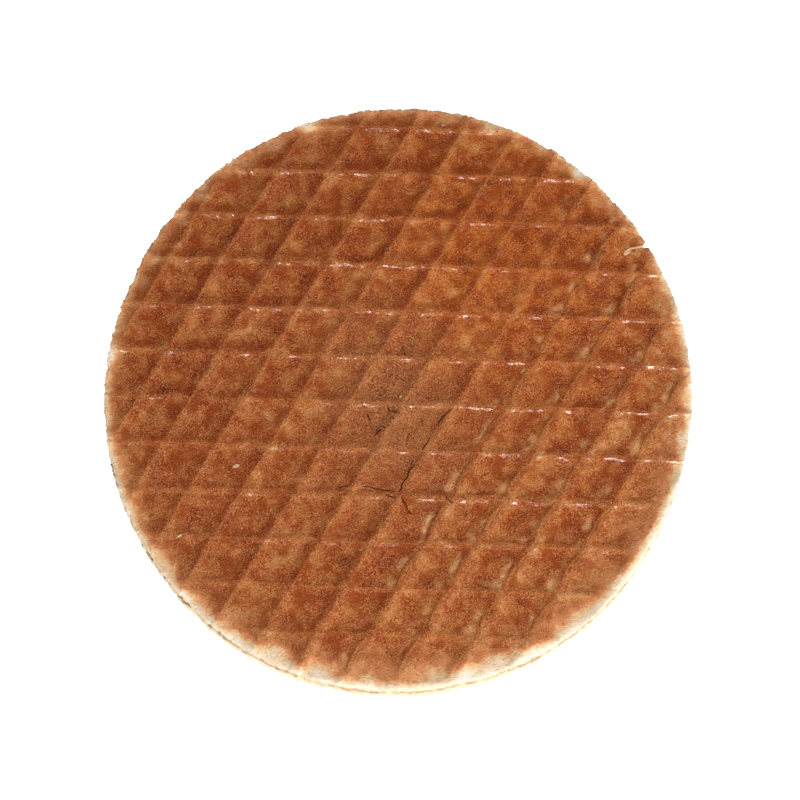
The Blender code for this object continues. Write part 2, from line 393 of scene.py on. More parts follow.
class Reading:
    """One face at many points: its height below the crest plane, and the marks that the crust reads."""

    def __init__(self, face, x, y):
        self.face = face
        self.x = x
        self.y = y
        self.seed = face.seed
        self.inwards = np.maximum(face.inwards(x, y), 0.0)
        self.ridges, self.s, self.t, self.slanted, self.level = face.ridges(x, y)
        self.bowl = np.abs(np.sin(math.pi * self.s) * np.sin(math.pi * self.t))
        # 1 at the palest stretch of the rim, which faces the key light and whose extra paleness is partly
        # painted light, and -1 across from it, where the edge is browned.
        self.paleness_towards_light = np.cos(np.arctan2(y, x) - PALE_LIT_SIDE)
        self.browned = smoothstep(0.1, -0.5, self.paleness_towards_light)
        self.lips = np.zeros_like(x)
        self.patches = np.zeros_like(x)
        far = np.full_like(x, MM)
        self.marks = {"slanted_crest": self.slanted, "level_crest": self.level, "crack": far, "scuff": far}
        self.height = self.relief()
        self.add_creases()
        self.add_corner_patches()
        self.add_greased_lips()
        self.roll_edge()
        self.brown()
        if face.shown:
            self.dull_middle()
            self.crack()
            self.add_spots()
        self.height = np.minimum(self.height, -CREST_MARGIN)
        self.marks["rim"] = np.clip(self.marks["rim"], -1.0, 1.0)
        for name in ("bake", "bloom", "amber"):
            self.marks[name] = np.clip(self.marks[name], 0.0, 1.0)

    def noise(self, size, number):
        return noise(self.x, self.y, size, self.seed + number)

    def fractal(self, size, number):
        return fractal(self.x, self.y, size, self.seed + number)

    def cell_noise(self, number):
        return cell_noise(np.floor(self.s), np.floor(self.t), self.seed + number)

    def relief(self):
        """Ridges, the bowls of the cells, and beads, lumps and grain."""
        height = -RIDGE_HEIGHT * (1 - self.ridges)
        height -= BOWL_DEPTH * self.bowl * (1 + 0.5 * self.cell_noise(14))
        height += BEAD_HEIGHT * self.ridges * self.noise(0.9, 15)
        height += LUMP_HEIGHT * self.fractal(2.2, 16)
        height += GRAIN_HEIGHT * self.noise(0.55, 17)
        return height

    def add_creases(self):
        """Creases beside the ridges, on the flanks that face the middle."""
        slanted, level = self.face.lattice.slanted_normal, self.face.lattice.level_normal
        self.add_family("slanted", self.slanted, slanted, self.s, self.t, SLANTED_CREASE, 1.0, 20)
        self.add_family("level", self.level, level, self.t, self.s, LEVEL_CREASE, 0.6, 21)

    def add_family(self, name, distance, normal, across, along, crease, share, number):
        """One family's creases, lips and pale patches."""
        away = self.x * normal[0] + self.y * normal[1]
        line = np.round(across)
        offset, bulge = crease
        strength = smoothstep(2 * MM, 12 * MM, np.abs(away)) * np.where(away > 0, share, 0.45)
        start = np.floor(along)
        halfway = along - start - 0.5 - 0.12 * cell_noise(line, start, self.seed + number + 8)
        run = strength * smoothstep(-0.7, -0.3, cell_noise(line, start, self.seed + number))
        run = run * smoothstep(0.44, 0.28, np.abs(halfway))
        wander = (0.10 * self.noise(1.4, number + 2) + 0.06 * self.noise(0.6, number + 4)) * MM
        beside = -distance * np.sign(away) - offset - bulge * np.cos(math.pi * halfway) + wander
        lip = run * bell(beside + LIP_OFFSET, LIP_REACH)
        self.height -= CREASE_DEPTH * run * bell(beside, CREASE_REACH)
        self.height += LIP_HEIGHT * lip
        self.lips = np.maximum(self.lips, lip)
        patch_run = smoothstep(0.05, 0.40, self.noise(2.2, number + 6))
        patch_run = patch_run * strength * (0.4 + 0.6 * run) * (1.1 - 0.5 * (along - start))
        patch = 0.8 * patch_run * bell(beside - PATCH_OFFSET, PATCH_REACH)
        self.patches = np.maximum(self.patches, patch)
        self.marks[name + "_crease"] = beside
        self.marks[name + "_run"] = run

    def add_corner_patches(self):
        """Pale patches in the south-east corners of the eastern cells."""
        corner = bell(self.slanted + CORNER_PATCH[0], CORNER_REACH[0])
        corner = corner * bell(self.level + CORNER_PATCH[1], CORNER_REACH[1])
        corner = corner * smoothstep(2 * MM, 16 * MM, self.x - 0.4 * self.y)
        corner = corner * smoothstep(-0.2, 0.5, self.fractal(2.2, 33))
        self.patches = np.maximum(self.patches, 0.7 * corner)
        self.patches = self.patches * (1 + 0.45 * self.noise(0.9, 41))
        self.marks["patch"] = smoothstep(0.0, 0.90, self.patches)

    def add_greased_lips(self):
        """Broken lips with grease on them, just beyond the level ridges' crests."""
        share = 0.6 + 0.3 * smoothstep(-16 * MM, 8 * MM, self.x + 0.7 * self.y)
        share -= 0.4 * near(self.x, self.y, *LESS_GREASED_PLACE)
        run = smoothstep(-0.22, 0.0, self.noise(2.8, 31))
        run = run * smoothstep(-26 * MM, -14 * MM, self.y) * share
        beside = self.level - GREASED_OFFSET + 0.10 * MM * self.noise(1.2, 32)
        self.height += GREASED_HEIGHT * run * bell(beside + 0.15 * MM, 0.18 * MM)
        self.marks["greased"] = beside
        self.marks["grease_run"] = run

    def roll_edge(self):
        """The face rolls down to the cut edge, least where the edge is browned."""
        rolled = np.clip(1 - self.inwards / EDGE_WIDTH, 0, 1) ** 2
        self.height -= EDGE_DROP * rolled * (1 - 0.9 * self.browned)
        self.height = np.minimum(self.height - CREST_MARGIN, 0.0)

    def brown(self):
        """The marks for how the crust is coloured."""
        bloom = smoothstep(0.05, 0.65, self.fractal(2.0, 45)) * smoothstep(0.0, 3 * MM, self.inwards)
        shaded = self.shaded_flanks()
        amber = smoothstep(0.0, 0.55, self.fractal(2.4, 46)) * (1 - bloom)
        # Painted shade: the flanks turned from the key light take the dark amber colour.
        amber = np.maximum(amber, 0.65 * shaded * (1 - bloom)) * (1 - self.lips) * (1 - self.patches)
        amber += 0.25 * smoothstep(5 * MM, 25 * MM, self.y) * (1 - self.patches)
        dull = 0.6 * smoothstep(8 * MM, 2 * MM, self.inwards) * smoothstep(-0.2, 0.6, self.paleness_towards_light)
        browned_edge = self.browned * smoothstep(3.2 * MM, 1.5 * MM, self.inwards)
        # The shaded term added to bake below is painted shade on the flanks turned from the key light.
        self.marks.update(
            rim=self.rim(),
            bake=self.bake() + 0.02 * shaded - 0.10 * self.patches,
            bloom=bloom,
            amber=amber,
            dull=np.maximum(dull, 0.15 * browned_edge),
            lip=np.clip(self.lips, 0.0, 1.0),
            orange=near(self.x, self.y, *ORANGE_PLACE),
        )

    def shaded_flanks(self):
        """Up to about 1 on the flanks that face away from the key light: where painted shade darkens the
        crust.
        """
        shaded = (0.8 - 0.6 * eastern(self.x, self.y)) * bell(self.slanted + 0.80 * MM, 0.6 * MM)
        shaded = shaded + (0.7 + 0.3 * self.y / RADIUS) * bell(self.level + 0.70 * MM, 0.5 * MM)
        return shaded * smoothstep(0.3 * MM, 2.5 * MM, self.inwards)

    def rim(self):
        """How unbrowned the crust is at the cut edge, in a band that is widest on the side towards the key
        light, where the extra width is partly painted light.
        """
        width = (1.55 + 1.30 * self.paleness_towards_light) * MM
        width = width * (1 + 0.3 * self.noise(5.0, 40)) * (0.6 + 0.7 * self.bowl)
        rim = 1 - self.inwards / np.maximum(width, 1.3 * MM)
        return rim * (0.82 + 0.22 * self.paleness_towards_light) - 0.15 * self.browned

    def bake(self):
        """How dark the crust is: blotchy, paler at the crossings and towards the rim, and painted paler on
        the lit flanks as a highlight.
        """
        bake = changed(self.x, self.y, BAKE, BAKE_CHANGES)
        bake += 0.06 * self.cell_noise(42) + 0.03 * self.noise(11.0, 44)
        bake += (0.18 + 0.09 * smoothstep(-5 * MM, 18 * MM, self.y)) * self.fractal(2.6, 43)
        bake -= (0.06 + 0.06 * self.cell_noise(48)) * smoothstep(0.3, 0.9, self.bowl)
        # Painted highlight: paler on the lit side of the slanted crests.
        bake -= 0.02 * bell(self.slanted - 1.15 * MM, 0.6 * MM)
        bake -= 0.05 * bell(self.slanted - 0.45 * MM, 0.6 * MM) * bell(self.level - 0.45 * MM, 0.5 * MM)
        # To the south-east the lit flanks are painted lighter as a highlight, and the floors between them
        # painted darker as shade.
        southeast = smoothstep(-2 * MM, 22 * MM, 0.7 * self.x - 0.7 * self.y)
        bake -= 0.11 * southeast * bell(self.slanted - 0.90 * MM, 0.7 * MM)
        bake += 0.07 * southeast * bell(self.slanted + 2.50 * MM, 1.2 * MM)
        # The band paled towards the rim is wider on the side towards the key light, partly painted light.
        rim_width = (4.8 + 1.6 * self.paleness_towards_light) * MM
        bake -= (0.26 - 0.08 * self.browned) * smoothstep(rim_width, 0.0, self.inwards)
        return bake - 0.08 * self.browned * smoothstep(3.0 * MM, 1.5 * MM, self.inwards)

    def dull_middle(self):
        """The middle is duller than the rest, with neither amber nor painted shade."""
        across = self.x / MIDDLE_REACH[0]
        up = (self.y - MIDDLE_NORTH) / MIDDLE_REACH[1]
        middle = bell(np.hypot(across, up), 1.0)
        dull = middle * (1 + 0.3 * self.noise(2.5, 47))
        self.marks["dull"] = np.maximum(self.marks["dull"], dull)
        self.marks["amber"] = self.marks["amber"] * (1 - middle)

    def crack(self):
        away = distance_to_cracks(self.x, self.y)
        self.height -= CRACK_DEPTH * smoothstep(1.5 * CRACK_HALF_WIDTH, 0.0, away)
        self.marks["crack"] = away
        self.marks["scuff"] = np.minimum(distance_to_scuffs(self.x, self.y), MM)

    def add_spots(self):
        """Pale spots at the rim, the browned edge round the chip, and drops of grease."""
        marks = self.marks
        marks["rim"] -= 0.6 * near(self.x, self.y, *CHIP_CRACK[0], CHIP_BROWNING_REACH)
        for place in PALE_SPOTS:
            marks["rim"] += 0.6 * near(self.x, self.y, *place, PALE_SPOT_REACH)
        for place in GREASE_DROPS:
            drop = near(self.x, self.y, *place, DROP_RADIUS)
            self.height += DROP_HEIGHT * drop
            marks["grease_run"] = np.maximum(marks["grease_run"], smoothstep(0.2, 0.5, drop))
            marks["greased"] = np.where(drop > 0.2, 0.0, marks["greased"])


# -------- meshes


def sides_of(triangles):
    return np.concatenate((triangles[:, [0, 1]], triangles[:, [1, 2]], triangles[:, [2, 0]]))


def side_keys(sides, count):
    """One whole number for each side, whichever way round it runs."""
    return sides.min(axis=1) * count + sides.max(axis=1)


def split_edges(points, triangles, chosen):
    """Halves every edge whose two ends are chosen, and keeps the sheet whole."""
    keys, number = np.unique(side_keys(sides_of(triangles), len(points)), return_inverse=True)
    edges = np.column_stack(np.divmod(keys, len(points)))
    number = number.reshape(3, -1).T
    split = chosen[edges].all(axis=1)
    middle = np.full(len(edges), -1)
    middle[split] = len(points) + np.arange(split.sum())
    points = np.concatenate((points, points[edges[split]].mean(axis=1)))
    count = split[number].sum(axis=1)
    made = [triangles[count == 0], middle[number][count == 3]]
    for turn in range(3):
        a, b, c = (triangles[:, (turn + corner) % 3] for corner in range(3))
        ab, bc, ca = (number[:, (turn + side) % 3] for side in range(3))
        one = (count == 1) & split[ab]
        two = (count == 2) & split[ab] & split[bc]
        for corners, kind in (
            ((a, middle[ab], c), one),
            ((middle[ab], b, c), one),
            ((middle[ab], b, middle[bc]), two),
            ((a, middle[ab], middle[bc]), two),
            ((a, middle[bc], c), two),
            ((a, middle[ab], middle[ca]), count == 3),
        ):
            made.append(np.column_stack(corners)[kind])
    return points, np.concatenate(made)


def face_sheet(face):
    """Flat triangles that follow the ridges and end on the outline: (points, triangles)."""
    reach = math.ceil(1.2 * RADIUS / LEVEL_PITCH) * CELL_STEPS
    steps = np.arange(-reach, reach + 1) / CELL_STEPS
    steps = steps - STEP_CROWDING * np.sin(math.tau * steps) / math.tau
    s, t = np.meshgrid(steps, steps, indexing="ij")
    x, y = face.lattice.place(s, t)
    points = np.column_stack((x.ravel(), y.ravel()))
    index = np.arange(len(points)).reshape(x.shape)
    a, b = index[:-1, :-1].ravel(), index[1:, :-1].ravel()
    c, d = index[1:, 1:].ravel(), index[:-1, 1:].ravel()
    triangles = np.concatenate((np.column_stack((a, b, d)), np.column_stack((b, c, d))))
    if np.linalg.det(face.lattice.inverse) < 0:
        triangles = triangles[:, ::-1]
    inwards = face.inwards(*points.T)
    triangles = triangles[(inwards > -SHEET_MARGIN)[triangles].any(axis=1)]
    points, triangles = split_edges(points, triangles, np.abs(inwards) < RIM_BAND)
    if face.shown:
        for band in CRACK_BANDS:
            away = distance_to_cracks(*points.T)
            away = np.minimum(away, np.abs(distance_to_scuffs(*points.T)))
            points, triangles = split_edges(points, triangles, away < band)
    return trimmed(points, triangles, face)


def trimmed(points, triangles, face):
    """Pulls the points nearest the outline onto it and drops what lies outside."""
    beyond = -face.inwards(*points.T)
    ends = sides_of(triangles)
    ends = ends[beyond[ends[:, 0]] * beyond[ends[:, 1]] < 0]
    closer = np.abs(beyond[ends[:, 0]]) < np.abs(beyond[ends[:, 1]])
    snapped = np.unique(np.where(closer, ends[:, 0], ends[:, 1]))
    angle = np.arctan2(points[snapped, 1], points[snapped, 0])
    points[snapped] = ring_at(face.edge(angle), angle, 0.0)[:, :2]
    beyond[snapped] = 0.0
    sides = beyond[triangles]
    triangles = triangles[(sides <= 0).all(axis=1) & (sides < 0).any(axis=1)]
    used, flat = np.unique(triangles, return_inverse=True)
    return points[used], flat.reshape(-1, 3)


def rim_loop(triangles):
    """The boundary vertices of a sheet of triangles, in order round it."""
    sides = sides_of(triangles)
    keys = side_keys(sides, triangles.max() + 1)
    _, first, counts = np.unique(keys, return_index=True, return_counts=True)
    border = sides[first[counts == 1]]
    following = dict(border.tolist())
    if len(following) != len(border):
        raise RuntimeError("the face's rim touches itself")
    start = int(border[0, 0])
    loop = [start]
    while following[loop[-1]] != start:
        loop.append(following[loop[-1]])
    if len(loop) != len(border):
        raise RuntimeError("the face has more than one rim")
    return np.array(loop)


def ring_at(radius, angle, z):
    """The points of a ring, whose z may be one number."""
    return np.column_stack((radius * np.cos(angle), radius * np.sin(angle), z + 0.0 * angle))


def band_between(ring, further):
    """The triangles between two rings of points."""
    after, below = np.roll(ring, -1), np.roll(further, -1)
    return np.concatenate((np.column_stack((ring, further, below)), np.column_stack((ring, below, after))))


def cap(ring, middle):
    """The triangles between a ring and one point."""
    return np.column_stack((ring, np.full(len(ring), middle), np.roll(ring, -1)))


class Shell:
    """A closed half, gathered ring by ring from the rim of its baked face inwards."""

    def __init__(self, sheet, triangles, loop):
        self.points = [sheet]
        self.triangles = [triangles]
        self.crumb = [np.zeros(len(sheet))]
        self.ring = loop
        self.total = len(sheet)

    def add_ring(self, points, crumb):
        ring = self.total + np.arange(len(points))
        self.triangles.append(band_between(self.ring, ring))
        self.points.append(points)
        self.crumb.append(crumb)
        self.ring = ring
        self.total += len(points)

    def close(self, point):
        self.triangles.append(cap(self.ring, self.total))
        self.points.append(np.array([point]))
        self.crumb.append(np.ones(1))


def make_half(name, face, crest, inner):
    """A closed half: the baked face, the cut wall, the lip squeezed over the syrup and the inner face."""
    facing = 1.0 if crest > inner else -1.0
    points, triangles = face_sheet(face)
    reading = Reading(face, *points.T)
    sheet = np.column_stack((points, crest + facing * reading.height))
    loop = rim_loop(triangles)
    rim = sheet[loop]
    angle = np.maximum.accumulate(np.unwrap(np.arctan2(rim[:, 1], rim[:, 0])))
    radius = np.hypot(rim[:, 0], rim[:, 1])
    x, y = round_path(angle)
    shell = Shell(sheet, triangles, loop)
    foot = inner - facing * OVERHANG * (1 + 0.5 * fractal(x, y, 2.5, face.seed + 53))
    for down in WALL_DEPTHS:
        z = rim[:, 2] * (1 - down) + foot * down
        rough = 0.14 * MM * fractal(x + 1.6 * z, y - 1.6 * z, 1.2, face.seed + 50)
        flakes = 0.12 * MM * np.abs(noise(0.4 * x + 2 * z, 0.4 * y - 2 * z, 0.7, face.seed + 51))
        inset = (0.06 + 0.16 * math.sin(math.pi * down)) * MM + rough + flakes
        inset = np.maximum(inset, -0.05 * MM) * min(1.0, 4 * down)
        crust_depth = (0.22 + 0.12 * noise(x + z, y - z, 1.5, face.seed + 52)) * MM
        crumb = smoothstep(0.0, 0.16 * MM, np.abs(rim[:, 2] - z) - crust_depth)
        shell.add_ring(ring_at(radius - inset, angle, z), crumb)
    shell.add_ring(ring_at(radius - OVERHANG_WIDTH, angle, inner), np.ones(len(loop)))
    shell.close((0.0, 0.0, inner))
    obj = mesh_object(name, np.concatenate(shell.points), np.concatenate(shell.triangles), facing < 0)
    rings = len(WALL_DEPTHS) + 1
    for mark, values in reading.marks.items():
        add_mark(obj, mark, np.concatenate((values, np.tile(values[loop], rings), values[:1])))
    add_mark(obj, "crumb", np.concatenate(shell.crumb))
    return obj


def new_object(name, data):
    obj = bpy.data.objects.new(name, data)
    bpy.context.scene.collection.objects.link(obj)
    return obj


def mesh_object(name, vertices, triangles, turned):
    if turned:
        triangles = triangles[:, ::-1]
    mesh = bpy.data.meshes.new(name)
    mesh.from_pydata(vertices.tolist(), [], triangles.tolist())
    mesh.validate()
    mesh.shade_smooth()
    return new_object(name, mesh)


def add_mark(obj, name, values):
    attribute = obj.data.attributes.new(name, "FLOAT", "POINT")
    attribute.data.foreach_set("value", np.asarray(values, np.float32))


def make_syrup(name, low, high):
    """The syrup between the halves, squeezed out unevenly to just short of the cut edge."""
    angle = np.linspace(-math.pi, math.pi, SYRUP_POINTS, endpoint=False)
    x, y = round_path(angle)
    rings = []
    for step in range(SYRUP_STEPS + 1):
        rise = step / SYRUP_STEPS
        z = low + (high - low) * rise
        radius = outline(angle, 900) - SYRUP_SETBACK + SYRUP_BULGE * math.sin(math.pi * rise)
        radius += 0.20 * MM * noise(x, y, 3.0, 901)
        radius += 0.12 * MM * fractal(x + z, y - z, 0.9, 902)
        rings.append(ring_at(radius, angle, z))
    centres = np.array([[0.0, 0.0, low], [0.0, 0.0, high]])
    total = len(rings) * SYRUP_POINTS
    numbers = np.arange(total).reshape(-1, SYRUP_POINTS)
    triangles = [cap(numbers[0], total)[:, ::-1], cap(numbers[-1], total + 1)]
    triangles += map(band_between, numbers, numbers[1:])
    return mesh_object(name, np.concatenate(rings + [centres]), np.concatenate(triangles), True)


# -------- colours


def srgb(red, green, blue):
    """A colour given in display values from 0 to 255, as linear light."""
    shares = (red / 255, green / 255, blue / 255)
    return *(c / 12.92 if c <= 0.04045 else ((c + 0.055) / 1.055) ** 2.4 for c in shares), 1.0


# The crust from raw to burnt, and the same towards the upper right, where it is more orange.
BAKED = (
    (0.00, srgb(240, 206, 160)), (0.12, srgb(228, 178, 126)),
    (0.25, srgb(206, 143, 88)), (0.40, srgb(181, 105, 53)),
    (0.55, srgb(158, 75, 28)), (0.70, srgb(140, 55, 15)),
    (0.85, srgb(114, 38, 9)), (1.00, srgb(72, 28, 8)),
)
ORANGE_BAKED = (
    (0.20, srgb(232, 154, 76)), (0.40, srgb(210, 109, 30)),
    (0.60, srgb(177, 76, 11)), (0.80, srgb(134, 50, 8)),
)

# Coloured by the grain.
BLOOM = ((0.30, srgb(144, 82, 36)), (0.50, srgb(186, 116, 52)), (0.70, srgb(216, 156, 88)))
DULL = ((0.30, srgb(132, 76, 42)), (0.70, srgb(194, 130, 84)))
PATCH = ((0.35, srgb(230, 160, 98)), (0.65, srgb(250, 206, 148)))

# Smooth amber blotches, and the painted shade on the flanks turned from the key light.
AMBER_AND_SHADE = srgb(141, 59, 16)
# A golden edge painted on the lit side of the crests as a highlight; the lips take the same colour.
GILT_AND_HIGHLIGHT = srgb(214, 140, 72)
LIT_GRAIN = srgb(210, 138, 92)
DARK_GRAIN = srgb(112, 48, 10)
# Beads of fat, painted lighter as a highlight.
BEAD_HIGHLIGHT = srgb(228, 166, 116)
SPECK = srgb(226, 162, 112)
# Dark colours painted into pits, pores, creases and cracks as the shade in these hollows.
PIT_SHADE = srgb(108, 44, 8)
PORE_SHADE = srgb(84, 30, 4)
CREASE_SHADE = srgb(126, 60, 14)
CRACK_SHADE = srgb(70, 28, 10)
TORN = srgb(240, 200, 156)

# The unbrowned rim, from the crust outwards, and the cut wall.
FADING = (
    (0.00, srgb(206, 126, 80)), (0.25, srgb(220, 146, 96)),
    (0.50, srgb(233, 188, 138)), (0.75, srgb(245, 217, 184)),
    (1.00, srgb(251, 236, 216)),
)
CREAM = ((0.28, srgb(214, 176, 132)), (0.45, srgb(234, 206, 170)), (0.75, srgb(244, 224, 196)))

SYRUP = ((0.3, srgb(140, 80, 38)), (0.7, srgb(190, 124, 70)))
FLOOR = ((0.3, (0.90, 0.90, 0.90, 1.0)), (0.7, (0.93, 0.93, 0.93, 1.0)))
WHITE = (1.0, 1.0, 1.0, 1.0)


# -------- materials


class Nodes:
    """Short names for building the node tree of a material or a world."""

    def __init__(self, owner, shader="Principled BSDF"):
        owner.use_nodes = True
        self.owner = owner
        self.tree = owner.node_tree
        self.shader = self.tree.nodes[shader]

    def new(self, kind, **inputs):
        """A new node, with its inputs set to values or linked to sockets."""
        node = self.tree.nodes.new(kind)
        for name, value in inputs.items():
            self.set(node.inputs[name], value)
        return node

    def set(self, socket, value):
        if isinstance(value, bpy.types.NodeSocket):
            self.tree.links.new(value, socket)
        else:
            socket.default_value = value

    def surface(self, name, value):
        """Sets or links one of the shader's own sockets."""
        self.set(self.shader.inputs[name], value)

    def mark(self, name):
        node = self.new("ShaderNodeAttribute")
        node.attribute_name = name
        return node.outputs["Fac"]

    def noise(self, size, detail, rough, number=0.0):
        """Noise from 0 to 1, size millimetres across. Each number is another part of it."""
        shift = self.new("ShaderNodeVectorMath")
        shift.inputs[1].default_value = (number, number, number)
        self.set(shift.inputs[0], self.new("ShaderNodeTexCoord").outputs["Object"])
        look = {"Scale": 1 / (size * MM), "Detail": detail, "Roughness": rough}
        return self.new("ShaderNodeTexNoise", Vector=shift.outputs[0], **look).outputs["Fac"]

    def math(self, operation, a, b=0.0):
        node = self.new("ShaderNodeMath")
        node.operation = operation
        self.set(node.inputs[0], a)
        self.set(node.inputs[1], b)
        return node.outputs[0]

    def map(self, value, low, high, to_low=0.0, to_high=1.0):
        limits = {"From Min": low, "From Max": high, "To Min": to_low, "To Max": to_high}
        return self.new("ShaderNodeMapRange", Value=value, **limits).outputs["Result"]

    def ramp(self, value, stops):
        node = self.new("ShaderNodeValToRGB", Fac=value)
        elements = node.color_ramp.elements
        while len(elements) < len(stops):
            elements.new(0.5)
        for element, (place, colour) in zip(elements, stops):
            element.position = place
            element.color = colour
        return node.outputs["Color"]

    def mix(self, share, a, b):
        node = self.new("ShaderNodeMix")
        node.data_type = "RGBA"
        self.set(node.inputs[0], share)
        self.set(node.inputs[6], a)
        self.set(node.inputs[7], b)
        return node.outputs[2]

    def add(self, *values):
        return reduce(partial(self.math, "ADD"), values)

    def times(self, *values):
        return reduce(partial(self.math, "MULTIPLY"), values)

    def line(self, away, half_width):
        """1 where the distance is zero, falling to 0 at half_width on either side."""
        return self.map(self.math("ABSOLUTE", away), half_width, 0.0)

    def bump(self, height, distance):
        node = self.new("ShaderNodeBump", Strength=1.0, Distance=distance, Height=height)
        return node.outputs["Normal"]


class Crust(Nodes):
    """The crust and its crumb: one material for both halves."""

    def __init__(self):
        super().__init__(bpy.data.materials.new("baked_crust"))
        self.amber, self.bloom, self.dull, self.crumb = map(self.mark, ("amber", "bloom", "dull", "crumb"))
        self.skin = self.map(self.crumb, 0.0, 1.0, 1.0, 0.0)
        self.grain = self.noise(0.32, 4.0, 0.7)
        self.fine = self.noise(0.19, 1.0, 0.6, 5.0)
        self.mottle = self.noise(1.2, 4.0, 0.6, 3.0)
        self.sparse = self.noise(0.9, 3.0, 0.6, 6.0)
        self.ragged = self.map(self.sparse, 0.35, 0.6)
        wander = self.noise(0.5, 2.0, 0.6, 8.0)
        self.wander = self.map(wander, 0.0, 1.0, -0.10 * MM, 0.10 * MM)
        self.make_spots()
        self.make_lines()
        self.make_cracks()
        self.make_crests()
        self.make_grease()
        self.surface("Base Color", self.colour())
        self.finish_surface()

    def along(self, mark, half_width, offset=0.0):
        """A thin wandering line beside a mark's own. The lengths are in millimetres."""
        return self.line(self.add(self.mark(mark), self.wander, -offset * MM), half_width * MM)

    def make_spots(self):
        """Pale specks, and pores and pits, which are painted dark as shade in their holes."""
        specks = self.map(self.noise(0.27, 1.0, 0.5, 1.0), 0.60, 0.70)
        self.specks = self.times(specks, self.ragged)
        self.pores = self.map(self.noise(0.40, 1.0, 0.5, 2.0), 0.27, 0.21)
        pits = self.map(self.noise(0.28, 1.0, 0.5, 11.0), 0.36, 0.28)
        pitted = self.add(self.map(self.bloom, 0.0, 1.0, 0.35, 1.0), self.dull)
        self.pits = self.times(pits, pitted)
        torn = self.add(self.mark("scuff"), self.times(self.wander, 0.6))
        self.torn = self.map(torn, 0.05 * MM, -0.05 * MM)

    def make_lines(self):
        """Thin creases that follow the ridges."""
        slanted = self.times(self.along("slanted_crease", 0.11), self.mark("slanted_run"))
        level = self.times(self.along("level_crease", 0.10), self.mark("level_run"))
        self.creases = self.times(self.math("MAXIMUM", slanted, level), self.ragged, self.skin)

    def make_cracks(self):
        """The open cracks, and hairlines in the dull middle."""
        away = self.add(self.mark("crack"), self.times(self.wander, 0.5))
        broken = self.map(self.noise(0.7, 2.0, 0.6, 13.0), 0.30, 0.55, 0.25, 1.0)
        cracks = self.times(self.line(away, CRACK_HALF_WIDTH), broken)
        hairs = self.times(
            self.line(self.add(self.noise(1.0, 1.0, 0.5, 16.0), -0.5), 0.03),
            self.map(self.noise(0.7, 2.0, 0.6, 17.0), 0.49, 0.57),
            self.map(self.dull, 0.5, 0.9),
            0.8,
        )
        self.cracks = self.times(self.math("MAXIMUM", cracks, hairs), self.skin)

    def make_crests(self):
        """The lit side of the ridges' crests, painted lighter as a highlight, a thin golden edge along it
        that is a painted highlight too, and beads of fat on it.
        """
        slanted = self.along("slanted_crest", 0.55, 0.45)
        level = self.times(self.along("level_crest", 0.34, 0.36), 0.6)
        self.crest = self.times(self.add(slanted, level), self.skin)
        slanted_edge = self.along("slanted_crest", 0.22, 0.16)
        level_edge = self.along("level_crest", 0.18, 0.12)
        gilt_and_highlight = self.math("MAXIMUM", slanted_edge, level_edge)
        gilt_and_highlight = self.times(gilt_and_highlight, self.map(self.noise(1.1, 3.0, 0.7, 14.0), 0.36, 0.56), 0.42)
        lips = self.times(self.mark("lip"), self.map(self.mottle, 0.35, 0.65, 0.2, 0.65))
        self.gilt_and_highlight = self.math("MAXIMUM", gilt_and_highlight, lips)
        beads = self.map(self.noise(0.34, 1.0, 0.5, 15.0), 0.52, 0.64)
        self.beads = self.times(self.crest, beads, self.ragged)

    def make_grease(self):
        """Shiny lines along the level ridges."""
        self.grease = self.times(
            self.along("greased", 0.26),
            self.mark("grease_run"),
            self.map(self.noise(0.5, 2.0, 0.6, 4.0), 0.28, 0.40),
            self.skin,
        )

    def colour(self):
        colour = self.browned()
        colour = self.speckled(colour)
        colour = self.faded(colour)
        colour = self.mix(self.times(self.torn, 0.9), colour, TORN)
        cream = self.ramp(self.noise(0.8, 5.0, 0.65, 7.0), CREAM)
        return self.mix(self.crumb, colour, cream)

    def browned(self):
        """Browning, broken up by the grain: less on smooth amber and on painted shade."""
        specked = self.map(self.grain, 0.25, 0.75, -0.22, 0.22)
        # The crest term paints the crust lighter on the lit side of the ridges, a painted highlight.
        bake = self.add(
            self.mark("bake"),
            self.times(specked, self.map(self.amber, 0.0, 1.0, 1.0, 0.6)),
            self.map(self.mottle, 0.25, 0.75, -0.16, 0.16),
            self.times(self.crest, self.map(self.sparse, 0.3, 0.7, -0.01, -0.08)),
        )
        colour = self.ramp(bake, BAKED)
        patchy = self.map(self.noise(0.6, 4.0, 0.7, 9.0), 0.3, 0.7, 0.15, 0.75)
        colour = self.mix(self.times(self.bloom, patchy), colour, self.ramp(self.grain, BLOOM))
        colour = self.mix(self.times(self.dull, 0.65), colour, self.ramp(self.grain, DULL))
        orange = self.times(self.mark("orange"), 0.75)
        colour = self.mix(orange, colour, self.ramp(bake, ORANGE_BAKED))
        # Amber blotches, together with painted shade on the flanks turned from the key light.
        amber = self.times(self.amber, self.map(self.mottle, 0.3, 0.6, 0.90, 0.50))
        colour = self.mix(amber, colour, AMBER_AND_SHADE)
        patch = self.times(self.mark("patch"), self.map(self.mottle, 0.35, 0.6, 0.6, 1.0))
        colour = self.mix(patch, colour, self.ramp(self.grain, PATCH))
        # The golden edge on the lit side of the crests is a painted highlight; the lips share its colour.
        return self.mix(self.gilt_and_highlight, colour, GILT_AND_HIGHLIGHT)

